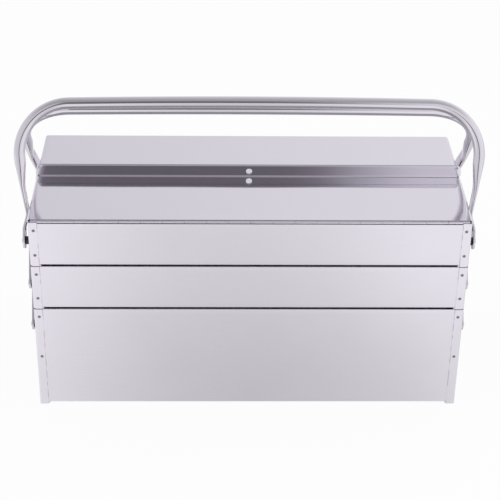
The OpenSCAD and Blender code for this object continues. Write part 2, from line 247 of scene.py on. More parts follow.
class Surface:
    """Collects surface grids in millimetres and makes one mesh of them."""

    def __init__(self) -> None:
        """Starts with nothing."""
        self.points: list[Array] = []
        self.quads: list[Array] = []
        self.marks: list[Array] = []
        self.count = 0

    def _keep(self, points: Array, quads: Array, marks: Array) -> None:
        """Stores a block of points, its faces counted from 0, and its marks."""
        self.points.append(points)
        self.quads.append(quads + self.count)
        self.marks.append(marks)
        self.count += len(points)

    def grid(self, pts: Array, close_u: bool = False, close_v: bool = False,
             marks: Optional[Array] = None) -> "Surface":
        """Adds a grid of points P(u, v).

        Args:
            pts: array of nu x nv x 3 points.
            close_u: joins the last row to the first.
            close_v: joins the last column to the first.
            marks: how much weld tint and painted seam shade each point has, from 0 to 1.
        Returns:
            This surface.
        """
        nu, nv = pts.shape[:2]
        i = np.arange(nu if close_u else nu - 1)[:, None]
        j = np.arange(nv if close_v else nv - 1)[None, :]
        next_i, next_j = (i + 1) % nu, (j + 1) % nv
        quads = np.stack([i * nv + j, next_i * nv + j, next_i * nv + next_j,
                          i * nv + next_j], -1).reshape(-1, 4)
        self._keep(np.asarray(pts, float).reshape(-1, 3), quads,
                   np.zeros(nu * nv) if marks is None else marks.ravel())
        return self

    def slab(self, outer: Array, inner: Array, close_u: bool = False, walls: str = "abcd",
             marks: Optional[Array] = None) -> "Surface":
        """Adds a sheet between two grids of the same shape, with its edges walled.

        Args:
            outer: outer face as a grid.
            inner: inner face on the same grid.
            close_u: the sheet closes on itself along u.
            walls: which edges get a wall: a and b at the first and last row,
                c and d at the first and last column.
            marks: weld tint and painted seam shade of the outer face.
        Returns:
            This surface.
        """
        self.grid(outer, close_u, marks=marks)
        self.grid(inner, close_u)
        edges = {"a": (outer[0], inner[0]), "b": (outer[-1], inner[-1]),
                 "c": (outer[:, 0], inner[:, 0]), "d": (outer[:, -1], inner[:, -1])}
        for key in walls:
            self.grid(np.stack(edges[key]), close_v=close_u and key in "cd")
        return self

    def bar(self, pts: Array) -> "Surface":
        """Adds a bar of rings P(u, v), closed along u, with a fan over both ends.

        Args:
            pts: array of nu x nv x 3 points, each column a ring.
        Returns:
            This surface.
        """
        self.grid(pts, close_u=True)
        middle = pts.mean(0)
        for k in (0, -1):
            fan = np.stack([np.broadcast_to(middle[k], pts[:, k].shape), pts[:, k]])
            self.grid(fan, close_v=True)
        return self

    def mirrored(self, other: "Surface", x: float) -> "Surface":
        """Adds another surface, mirrored to the left where x is -1."""
        for points, quads, marks in zip(other.points, other.quads, other.marks):
            self._keep(points * [x, 1, 1], quads - quads.min(), marks)
        return self

    def to_object(self, name: str, x_sign: float = 1, y_sign: float = 1,
                  sharp: float = 35.0, closed: bool = True) -> bpy.types.Object:
        """Makes a mesh object in metres, with doubles merged and smooth shading.

        Args:
            name: name of the object.
            x_sign: -1 mirrors it to the left.
            y_sign: -1 mirrors it to the rear.
            sharp: angle in degrees past which an edge stays crisp.
            closed: whether open edges are capped and faces turned outward.
        Returns:
            The object, linked to the scene.
        """
        co = np.concatenate(self.points) * [x_sign, y_sign, 1] * MM
        quad = np.concatenate(self.quads)
        mesh = bpy.data.meshes.new(name)
        mesh.vertices.add(len(co))
        mesh.vertices.foreach_set("co", co.ravel())
        mesh.loops.add(quad.size)
        mesh.loops.foreach_set("vertex_index", quad.ravel().astype(np.int32))
        mesh.polygons.add(len(quad))
        mesh.polygons.foreach_set("loop_start", np.arange(0, quad.size, 4, dtype=np.int32))
        mesh.update(calc_edges=True)
        mark = mesh.attributes.new(MARK, "FLOAT", "POINT")
        mark.data.foreach_set("value", np.concatenate(self.marks).astype(np.float32))
        work = bmesh.new()
        work.from_mesh(mesh)
        bmesh.ops.remove_doubles(work, verts=work.verts, dist=MERGE_DISTANCE)
        if closed:
            rims = [edge for edge in work.edges if edge.is_boundary]
            bmesh.ops.holes_fill(work, edges=rims, sides=0)
            bmesh.ops.recalc_face_normals(work, faces=work.faces)
        work.to_mesh(mesh)
        work.free()
        mesh.shade_smooth()
        mesh.set_sharp_from_angle(angle=np.radians(sharp))
        obj = bpy.data.objects.new(name, mesh)
        bpy.context.scene.collection.objects.link(obj)
        return obj


def sweep_x(path: Array, xs: Array) -> Array:
    """Carries a Y-Z path along X: P(u, v) = (x_v, path_u)."""
    return points_of(xs[None, :], path[:, :1], path[:, 1:])


def turned(profile: Array, centre: Sequence[float], steps: int) -> Array:
    """Turns a profile about an axis along X: P = centre + (x, r cos a, r sin a).

    Args:
        profile: points as distance along X and radius.
        centre: point of the axis.
        steps: spans round the axis.
    Returns:
        Grid of points, closed along its second direction.
    """
    a = np.linspace(0, 2 * np.pi, steps, endpoint=False)
    r = profile[:, 1:]
    return points_of(centre[0] + profile[:, :1], centre[1] + r * np.cos(a),
                     centre[2] + r * np.sin(a))


# Finishes

Number = Union[float, "Signal"]


class Signal:
    """A shader socket on which Python's operators add Math nodes."""

    def __init__(self, graph: "Graph", socket: Optional[bpy.types.NodeSocket]) -> None:
        """Wraps a socket of a graph."""
        self.graph = graph
        self.socket = socket

    def _math(self, operation: str, *values: Number) -> "Signal":
        """Adds a Math node that works on the given values."""
        return self.graph.node("ShaderNodeMath", {"operation": operation},
                               dict(enumerate(values)))

    def __add__(self, other: Number) -> "Signal":
        """Sum."""
        return self._math("ADD", self, other)

    def __radd__(self, other: Number) -> "Signal":
        """Sum with the number first."""
        return self._math("ADD", other, self)

    def __sub__(self, other: Number) -> "Signal":
        """Difference."""
        return self._math("SUBTRACT", self, other)

    def __rsub__(self, other: Number) -> "Signal":
        """Difference with the number first."""
        return self._math("SUBTRACT", other, self)

    def __mul__(self, other: Number) -> "Signal":
        """Product."""
        return self._math("MULTIPLY", self, other)

    def __rmul__(self, other: Number) -> "Signal":
        """Product with the number first."""
        return self._math("MULTIPLY", other, self)

    def at_most(self, other: Number) -> "Signal":
        """The smaller of two values."""
        return self._math("MINIMUM", self, other)

    def at_least(self, other: Number) -> "Signal":
        """The larger of two values."""
        return self._math("MAXIMUM", self, other)


class Graph:
    """A node tree that is filled one node at a time."""

    def __init__(self, tree: bpy.types.NodeTree) -> None:
        """Empties a node tree and works on it."""
        self.tree = tree
        tree.nodes.clear()

    def _feed(self, socket: bpy.types.NodeSocket, value: object) -> None:
        """Links a signal to a socket, or sets the socket to a value."""
        if isinstance(value, Signal):
            self.tree.links.new(value.socket, socket)
        else:
            socket.default_value = value

    def node(self, kind: str, settings: dict, inputs: dict,
             output: Union[int, str] = 0) -> Signal:
        """Adds a node.

        Args:
            kind: the node's type.
            settings: its own properties.
            inputs: values or signals by socket name or number.
            output: which output to give back.
        Returns:
            The output as a signal.
        """
        made = self.tree.nodes.new(kind)
        for key, value in settings.items():
            setattr(made, key, value)
        for key, value in inputs.items():
            self._feed(made.inputs[key], value)
        return Signal(self, made.outputs[output] if made.outputs else None)

    def place(self, scale: Colour = (1, 1, 1)) -> Signal:
        """Object coordinates, stretched by a scale."""
        where = self.node("ShaderNodeTexCoord", {}, {}, "Object")
        return self.node("ShaderNodeMapping", {}, {"Vector": where, "Scale": scale})

    def axes(self, where: Signal) -> list[Signal]:
        """X, Y and Z of a vector."""
        return [self.node("ShaderNodeSeparateXYZ", {}, {"Vector": where}, k)
                for k in range(3)]

    def noise(self, where: Signal, scale: float, detail: float, rough: float) -> Signal:
        """Value noise from 0 to 1 with its middle at 0.5."""
        return self.node("ShaderNodeTexNoise", {}, {
            "Vector": where, "Scale": scale, "Detail": detail, "Roughness": rough})

    def level(self, value: Signal, low: float, high: float, out_low: float = 0.0,
              out_high: float = 1.0) -> Signal:
        """Maps one range onto another, smoothly and held at both ends."""
        return self.node("ShaderNodeMapRange", {"interpolation_type": "SMOOTHSTEP"}, {
            "Value": value, "From Min": low, "From Max": high, "To Min": out_low,
            "To Max": out_high})

    def blend(self, share: Number, first: Union[Colour, Signal],
              second: Union[Colour, Signal]) -> Signal:
        """Mixes two colours by a share from 0 to 1.

        Args:
            share: how much of the second colour.
            first: colour at 0.
            second: colour at 1.
        Returns:
            The mixed colour.
        """
        made = self.tree.nodes.new("ShaderNodeMix")
        made.data_type = "RGBA"
        slots = [socket for socket in made.inputs if socket.type == "RGBA"]
        for slot, colour in zip(slots, (first, second)):
            self._feed(slot, colour if isinstance(colour, Signal) else (*colour, 1.0))
        self._feed(made.inputs[0], share)
        return Signal(self, [s for s in made.outputs if s.type == "RGBA"][0])


def new_material(name: str) -> tuple[bpy.types.Material, Graph]:
    """Makes a material with an empty node tree, and the graph that fills it."""
    material = bpy.data.materials.new(name)
    material.use_nodes = True
    return material, Graph(material.node_tree)


@dataclass(frozen=True)
class Steel:
    """A stainless finish: colour, gloss, brushing, handling marks, weld heat tint and a
    painted shade line at seams.
    """

    name: str
    colour: Colour = (0.90, 0.86, 0.935)
    shade: Colour = (0.79, 0.755, 0.82)
    burnt: Colour = (0.10, 0.095, 0.12)
    rough: float = 0.28
    rough_spread: float = 0.08
    speck_rough: float = 0.03
    grain: Colour = (1.2, 60.0, 60.0)
    grain_scale: float = 30.0
    grain_share: float = 0.55
    grain_rough: float = 0.06
    grain_bump: float = 0.03
    speck_bump: float = 0.2
    dent_scale: float = 9.0
    dent_bump: float = 0.0
    bump: float = 0.5
    cloud_scale: float = 7.0
    speck_scale: float = 160.0
    smudge: float = 0.25
    smudge_share: float = 0.6
    smudge_range: Span = (0.42, 0.72)
    most_burnt: float = 0.85
    least_rough: float = 0.03

    def make(self) -> bpy.types.Material:
        """Builds the material.

        Returns:
            A metal whose colour, roughness and bump follow brushing and smudges.
        """
        material, g = new_material(self.name)
        where = g.place()
        lines = g.noise(g.place(self.grain), self.grain_scale, 4.0, 0.62)
        cloud = g.noise(where, self.cloud_scale, 4.0, 0.6)
        speck = g.noise(where, self.speck_scale, 3.0, 0.6)
        marks = g.level(cloud, *self.smudge_range) * self.smudge
        worn = (lines * self.grain_share + marks * self.smudge_share).at_most(1.0)
        # The point attribute darkens the colour: real heat tint at the weld dimples,
        # painted shade along the end panels' flange edges.
        tint = g.node("ShaderNodeAttribute", {"attribute_name": MARK}, {}, "Fac")
        colour = g.blend(tint.at_most(self.most_burnt),
                         g.blend(worn, self.colour, self.shade), self.burnt)
        rough = (self.rough + (lines - 0.5) * (2 * self.grain_rough)
                 + (cloud - 0.5) * self.rough_spread + (speck - 0.5) * self.speck_rough)
        height = lines * self.grain_bump + speck * (self.speck_bump * self.grain_bump)
        if self.dent_bump:
            height = height + g.noise(where, self.dent_scale, 1.0, 0.3) * self.dent_bump
        normal = g.node("ShaderNodeBump", {}, {
            "Strength": self.bump, "Distance": MM, "Height": height})
        shader = g.node("ShaderNodeBsdfPrincipled", {}, {
            "Base Color": colour, "Metallic": 1.0,
            "Roughness": rough.at_least(self.least_rough), "Normal": normal})
        g.node("ShaderNodeOutputMaterial", {}, {"Surface": shader})
        return material


@dataclass(frozen=True)
class Bush:
    """Dark moulded bushes with a soft sheen."""

    name: str = "bush_dark"
    colour: Colour = (0.035, 0.035, 0.038)
    dusty: Colour = (0.09, 0.09, 0.095)
    dust_scale: float = 90.0
    dust_range: Span = (0.45, 0.7)
    grain_scale: float = 1500.0
    grain_bump: float = 0.3
    grain_depth: float = 0.2
    rough: float = 0.45
    dust_rough: float = 0.2

    def make(self) -> bpy.types.Material:
        """Builds the material.

        Returns:
            A dark plastic with dust and a fine grain.
        """
        material, g = new_material(self.name)
        where = g.place()
        dust = g.level(g.noise(where, self.dust_scale, 4.0, 0.6), *self.dust_range)
        normal = g.node("ShaderNodeBump", {}, {
            "Strength": self.grain_bump, "Distance": self.grain_depth * MM,
            "Height": g.noise(where, self.grain_scale, 2.0, 0.5)})
        shader = g.node("ShaderNodeBsdfPrincipled", {}, {
            "Base Color": g.blend(dust, self.colour, self.dusty),
            "Roughness": self.rough + dust * self.dust_rough, "Normal": normal})
        g.node("ShaderNodeOutputMaterial", {}, {"Surface": shader})
        return material


@dataclass(frozen=True)
class Finishes:
    """The materials of the whole box."""

    panel: bpy.types.Material
    end: bpy.types.Material
    mirror: bpy.types.Material
    tube: bpy.types.Material
    lever: bpy.types.Material
    bush: bpy.types.Material


def make_finishes() -> Finishes:
    """Builds every material once.

    Returns:
        The finishes by their use.
    """
    return Finishes(
        panel=Steel("panel_satin", rough=0.30).make(),
        end=Steel("end_satin", rough=0.27, grain=(60.0, 1.2, 60.0)).make(),
        mirror=Steel("lid_mirror", colour=(0.80, 0.775, 0.83), shade=(0.74, 0.715, 0.77),
                     rough=0.085, rough_spread=0.03, grain_rough=0.015,
                     grain_bump=0.004, dent_bump=0.25, dent_scale=6.0, smudge=0.15).make(),
        tube=Steel("tube_polish", colour=(0.78, 0.755, 0.80), shade=(0.68, 0.655, 0.70),
                   rough=0.11, rough_spread=0.03, grain_rough=0.02, grain_bump=0.01,
                   smudge=0.15).make(),
        lever=Steel("lever_satin", colour=(0.70, 0.69, 0.72), shade=(0.58, 0.57, 0.6),
                    rough=0.3, grain=(60.0, 60.0, 2.0)).make(),
        bush=Bush().make())


# The box

def dress(obj: bpy.types.Object, body: str, material: bpy.types.Material,
          nodes: Sequence[str]) -> bpy.types.Object:
    """Gives a piece its finish, its body and the frame nodes that it stands for.

    Args:
        obj: the piece.
        body: body that it moves with.
        material: its finish.
        nodes: frame nodes that it replaces.
    Returns:
        The same piece.
    """
    obj.data.materials.append(material)
    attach(obj, body)
    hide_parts(*nodes)
    LOG.info("%s: %d faces on %s", obj.name, len(obj.data.polygons), body)
    return obj


@dataclass(frozen=True)
class Ripple:
    """Slow in-and-out wander of a rolled sheet: a sum of three long sine waves."""

    seed: float
    depth: float = 0.10
    waves: tuple[float, float, float] = (61.0, 23.0, 19.0)
    turns: tuple[float, float, float] = (1.0, 2.1, 1.3)
    shares: tuple[float, float, float] = (0.5, 0.2, 0.3)
    slant: float = 140.0

    def at(self, x: Array, z: Array) -> Array:
        """Offset at X and Z: depth times the sum of share x sin(place / wave + phase)."""
        places = (x / self.waves[0], x / self.waves[1], z / self.waves[2] + x / self.slant)
        return self.depth * sum(share * np.sin(place + turn * self.seed) for
                                share, place, turn in zip(self.shares, places, self.turns))


@dataclass
class FoldedBody:
    """A tray's folded sheet: outer wall, floor, inner wall and folded-over rims."""

    name: str
    body: str
    y_out: float
    y_in: float
    z_bottom: float
    out_top: float
    in_top: float
    out_hem: bool = True
    sizes: BoxSizes = SIZES
    skin_share: float = 0.97
    fold_clear: float = 3.0
    rim_clear: float = 9.0
    fade_reach: float = 8.0

    def _rim(self, y: float, top: float, inward: float, hem: bool) -> Array:
        """Outer skin of one rim, from inside the tray over the top and outward.

        Args:
            y: outer face of the wall.
            top: height of the rim.
            inward: direction of the tray's inside along Y.
            hem: whether the edge is folded over.
        Returns:
            Points from the inside to the wall's outer face.
        """
        t = self.sizes.sheet
        if not hem:
            edge = t / 2
            turn = arc((y + inward * edge, top - edge), edge, 90, 90 + inward * 90, 4)
            return path_of([[y + inward * t, top - edge]], turn)
        turn = arc((y + inward * t, top - t), t, 90 - inward * 90, 90 + inward * 90,
                   ROLL_SPANS)
        return path_of([[y + inward * 2 * t, top - self.sizes.hem_h]], turn)

    def skin(self) -> Array:
        """Outer skin from the front rim down, under the floor and up the other wall."""
        r, z = self.sizes.fold_r, self.z_bottom
        return path_of(self._rim(self.y_out, self.out_top, 1, self.out_hem),
                       arc((self.y_out + r, z + r), r, 180, 270, FOLD_SPANS),
                       arc((self.y_in - r, z + r), r, 270, 360, FOLD_SPANS),
                       self._rim(self.y_in, self.in_top, -1, True)[::-1])

    def build(self, sign: float, material: bpy.types.Material) -> bpy.types.Object:
        """Makes the piece, with a ripple that dies out at folds and rims.

        Args:
            sign: 1 as it stands, -1 mirrored to the rear.
            material: its finish.
        Returns:
            The dressed piece.
        """
        s = self.sizes
        end = s.half_len - s.fold_r
        path = refine(self.skin(), STEP)
        inner = path + left_normals(path) * (s.sheet * self.skin_share)
        xs, height = stations(-end, end, STEP), path[:, 1:]
        top = max(self.out_top, self.in_top)
        fade = smooth_step((height - self.z_bottom - self.fold_clear) / self.fade_reach)
        fade = fade * smooth_step((top - self.rim_clear - height) / self.fade_reach)
        wander, faces = Ripple(self.z_bottom), []
        for run in (path, inner):
            pts = sweep_x(run, xs)
            pts[..., 1] += wander.at(pts[..., 0], pts[..., 2]) * fade * (
                1 - (pts[..., 0] / end) ** 8)
            faces.append(pts)
        obj = Surface().slab(*faces).to_object(self.name + "_skin", y_sign=sign)
        return dress(obj, self.body, material, [self.name])


@dataclass
class EndPanel:
    """End panel with lapped corner flanges, weld dimples, rim fold and foot strip."""

    name: str
    body: str
    y_out: float
    y_in: float
    z_low: float
    z_high: float
    weld_drops: Sequence[float]
    sizes: BoxSizes = SIZES
    weld_in: float = 6.5
    weld_r: float = 1.7
    weld_depth: float = 0.45
    weld_tint: float = 1.6
    seam_shade: float = 0.8
    edge_gap: float = 0.2
    foot_lift: float = 0.0
    foot_ease: float = 0.4
    corner_lift: float = 1.5
    corner_reach: float = 1.6
    rim_drop: float = 0.2
    flat_limit: float = 0.99
    dish: float = 0.12
    dish_waves: Span = (31.0, 17.0)

    def plan(self) -> Array:
        """Outer skin in plan: flange, corner, end, corner, flange."""
        s = self.sizes
        x, r = s.half_len, s.fold_r
        flange = np.linspace(x - s.flange_w, x - r, 16)
        return path_of(points_of(flange, self.y_out),
                       arc((x - r, self.y_out + r), r, 270, 360, FOLD_SPANS),
                       refine(np.array([[x, self.y_out + r], [x, self.y_in - r]]), 8.0),
                       arc((x - r, self.y_in - r), r, 0, 90, FOLD_SPANS),
                       points_of(flange[::-1], self.y_in))

    def dimples(self, x: Array, z: Array) -> Array:
        """Depth of the weld dimples: a bell exp(-(d / r)^4) round each weld.

        Args:
            x: grid of X.
            z: grid of Z.
        Returns:
            Depth at each point.
        """
        centre = self.sizes.half_len - self.weld_in
        away = [(x - centre) ** 2 + (z - (self.z_high - drop)) ** 2
                for drop in self.weld_drops]
        return self.weld_depth * np.sum(
            [np.exp(-(one / self.weld_r ** 2) ** 2) for one in away], 0)

    def edges(self, plan: Array, zs: Array) -> Array:
        """Heights of the grid, with the lower edge lifted and relieved at the corners.

        Z = z + lift (1 - 8 share) - drop share^8, and the lift has a bell at each
        vertical fold.

        Args:
            plan: outer skin in plan.
            zs: even heights.
        Returns:
            Grid of heights.
        """
        s = self.sizes
        share = (zs - self.z_low) / (self.z_high - self.z_low)
        side = np.minimum(np.abs(plan[:, 1] - self.y_out), np.abs(plan[:, 1] - self.y_in))
        near = np.hypot(plan[:, 0] - s.half_len + s.fold_r / 3, side - s.fold_r / 3)
        bell = self.corner_lift * np.exp(-(near / self.corner_reach) ** 2)
        lift = self.foot_lift + bell * (self.foot_lift > 0)
        low = lift[:, None] * np.clip(1 - 8 * share, 0, 1)[None, :]
        return zs[None, :] + low - self.rim_drop * share[None, :] ** 8

    def build(self, x_sign: float, y_sign: float, material: bpy.types.Material
              ) -> bpy.types.Object:
        """Makes the piece.

        Args:
            x_sign: 1 for the right end, -1 for the left.
            y_sign: 1 as it stands, -1 mirrored to the rear.
            material: its finish.
        Returns:
            The dressed piece.
        """
        plan = self.plan()
        inside = left_normals(plan)
        x, y, in_x, in_y = plan[:, :1], plan[:, 1:], inside[:, :1], inside[:, 1:]
        zs = stations(self.z_low, self.z_high, STEP,
                      [self.z_high - drop for drop in self.weld_drops])
        z = self.edges(plan, zs)
        sink = self.dimples(x, z) * (np.abs(in_y) > self.flat_limit)
        marks = np.clip(self.weld_tint * sink / self.weld_depth, 0, 1)
        # Painted shade: the flange's cut edges get a dark line where the flange laps over
        # the wall.
        marks[[0, -1]] = self.seam_shade
        sink = sink + (np.abs(in_x) > self.flat_limit) * self.dish * np.sin(
            y / self.dish_waves[0] + self.z_low) * np.sin(z / self.dish_waves[1])
        skin, back = [points_of(x + in_x * deep, y + in_y * deep, z)
                      for deep in (sink, sink + self.sizes.sheet)]
        work = Surface().slab(skin, back, marks=marks)
        self._fold_and_foot(work)
        obj = work.to_object(self.name + "_panel", x_sign, y_sign)
        return dress(obj, self.body, material, [self.name])

    def _fold_and_foot(self, work: Surface) -> None:
        """Adds the folded rim inside and the strip under the floor.

        Args:
            work: surface that they are added to.
        """
        s, t, edge = self.sizes, self.sizes.sheet, self.foot_ease
        wall, top = s.half_len - t, self.z_high - self.rim_drop
        rim = path_of([[wall, top - s.hem_h], [wall - t, top - s.hem_h]],
                      arc((wall - t / 2, top - t / 2), t / 2, 180, 90, 4), [[wall, top]])
        low, high, inner = self.z_low, self.z_low + s.foot_h, wall - s.foot_w + edge
        foot = path_of([[wall, high]], arc((inner, high - edge), edge, 90, 180, 3),
                       arc((inner, low + edge), edge, 180, 270, 3), [[wall, low]])
        for outline, gap in ((rim, 3 * t + self.edge_gap), (foot, s.fold_r)):
            ys = np.linspace(self.y_out + gap, self.y_in - gap, 30)
            work.bar(points_of(outline[:, :1], ys[None, :], outline[:, 1:]))


@dataclass
class RivetRow:
    """Domed rivets with their bushes, through one body's end panels."""

    name: str
    body: str
    bush_node: str
    spots: Sequence[tuple[float, float, float, float]]
    sizes: BoxSizes = SIZES
    shank_r: float = 3.0
    head_r: float = 5.5
    head_h: float = 1.7
    head_rim: float = 0.12
    head_ease: float = 0.1
    set_t: float = 1.0
    set_in: float = 0.5
    bush_r: float = 5.0
    play: float = 0.1
    lip: float = 0.25
    spans: int = 28

    def head_profile(self, spacer: float, plate: float) -> Array:
        """Profile of a rivet from the head set inside to the dome outside.

        Args:
            spacer: length of its bush.
            plate: thickness of the lever or leg on it.
        Returns:
            Points as distance along X and radius.
        """
        s = self.sizes
        wall = s.half_len - s.sheet
        face = s.half_len + spacer + plate + 2 * self.play
        dome = (self.head_h ** 2 + self.head_r ** 2) / (2 * self.head_h)
        radius = self.head_r * (1 - np.linspace(0, 1, 9)) ** 0.7
        height = self.head_h - dome + np.sqrt(dome ** 2 - radius ** 2)
        inner_r, back = self.head_r - self.set_in, wall - self.set_t
        return path_of([[back, 0.0], [back, inner_r - self.lip],
                        [back + self.lip, inner_r], [wall, inner_r],
                        [wall, self.shank_r], [face, self.shank_r],
                        [face, self.head_r - self.head_ease]],
                       points_of(face + np.maximum(height, self.head_rim), radius))

    def build(self, material: bpy.types.Material, bush: bpy.types.Material
              ) -> list[bpy.types.Object]:
        """Makes the rivets and the bushes as two pieces.

        Args:
            material: finish of the rivets.
            bush: finish of the bushes.
        Returns:
            Both dressed pieces.
        """
        heads, rings, e = Surface(), Surface(), self.lip
        for y, z, spacer, plate in self.spots:
            one = Surface().grid(turned(self.head_profile(spacer, plate), (0, y, z),
                                        self.spans), close_v=True)
            x0, x1 = self.sizes.half_len, self.sizes.half_len + spacer
            r0, r1 = self.shank_r, self.bush_r
            ring = np.array([[x0, r0], [x0, r1 - e], [x0 + e, r1], [x1 - e, r1],
                             [x1, r1 - e], [x1, r0]])
            two = Surface().grid(turned(ring, (0, y, z), self.spans), close_u=True,
                                 close_v=True)
            for x_sign in (1, -1):
                heads.mirrored(one, x_sign)
                rings.mirrored(two, x_sign)
        return [dress(heads.to_object(self.name + "_domed"), self.body, material,
                      [self.name]),
                dress(rings.to_object(self.bush_node + "_turned"), self.body, bush,
                      [self.bush_node])]


@dataclass
class Lever:
    """Flat lever with rounded ends and eased edges, leaning inward at rest."""

    name: str
    body: str
    y: float
    z: float
    stages: int
    sizes: BoxSizes = SIZES
    width: float = 15.0
    thick: float = 2.5
    face: float = 5.8
    ease: float = 0.35
    spans: int = 16

    def build(self, x_sign: float, y_sign: float, material: bpy.types.Material
              ) -> bpy.types.Object:
        """Makes the piece: rings round a stadium, set in at both faces.

        Args:
            x_sign: 1 for the right end, -1 for the left.
            y_sign: 1 as it stands, -1 mirrored to the rear.
            material: its finish.
        Returns:
            The dressed piece.
        """
        s, half = self.sizes, self.width / 2
        rise = np.array([s.pivot_pitch, s.tray_height]) * self.stages
        along = rise / np.linalg.norm(rise)
        across = np.array([along[1], -along[0]])
        a = np.radians(np.linspace(0, 180, self.spans + 1))
        turn = np.r_[a, a + np.pi][:, None]
        anchor = np.repeat([1.0, 0.0], self.spans + 1)[:, None]
        bend = np.radians(np.linspace(0, 90, 5))
        inset, depth = self.ease * (1 - np.sin(bend)), self.ease * (1 - np.cos(bend))
        inset = np.r_[half, inset, inset[::-1], half]
        depth = np.r_[0, depth, self.thick - depth[::-1], self.thick]
        rings = []
        for inward, x in zip(inset, s.half_len + self.face + depth):
            ring = ([self.y, self.z] + anchor * rise
                    + (half - inward) * (np.cos(turn) * across + np.sin(turn) * along))
            rings.append(points_of(x, ring[:, 0], ring[:, 1]))
        work = Surface().grid(np.array(rings), close_v=True)
        obj = work.to_object(self.name + "_bar", x_sign, y_sign)
        return dress(obj, self.body, material, [self.name])


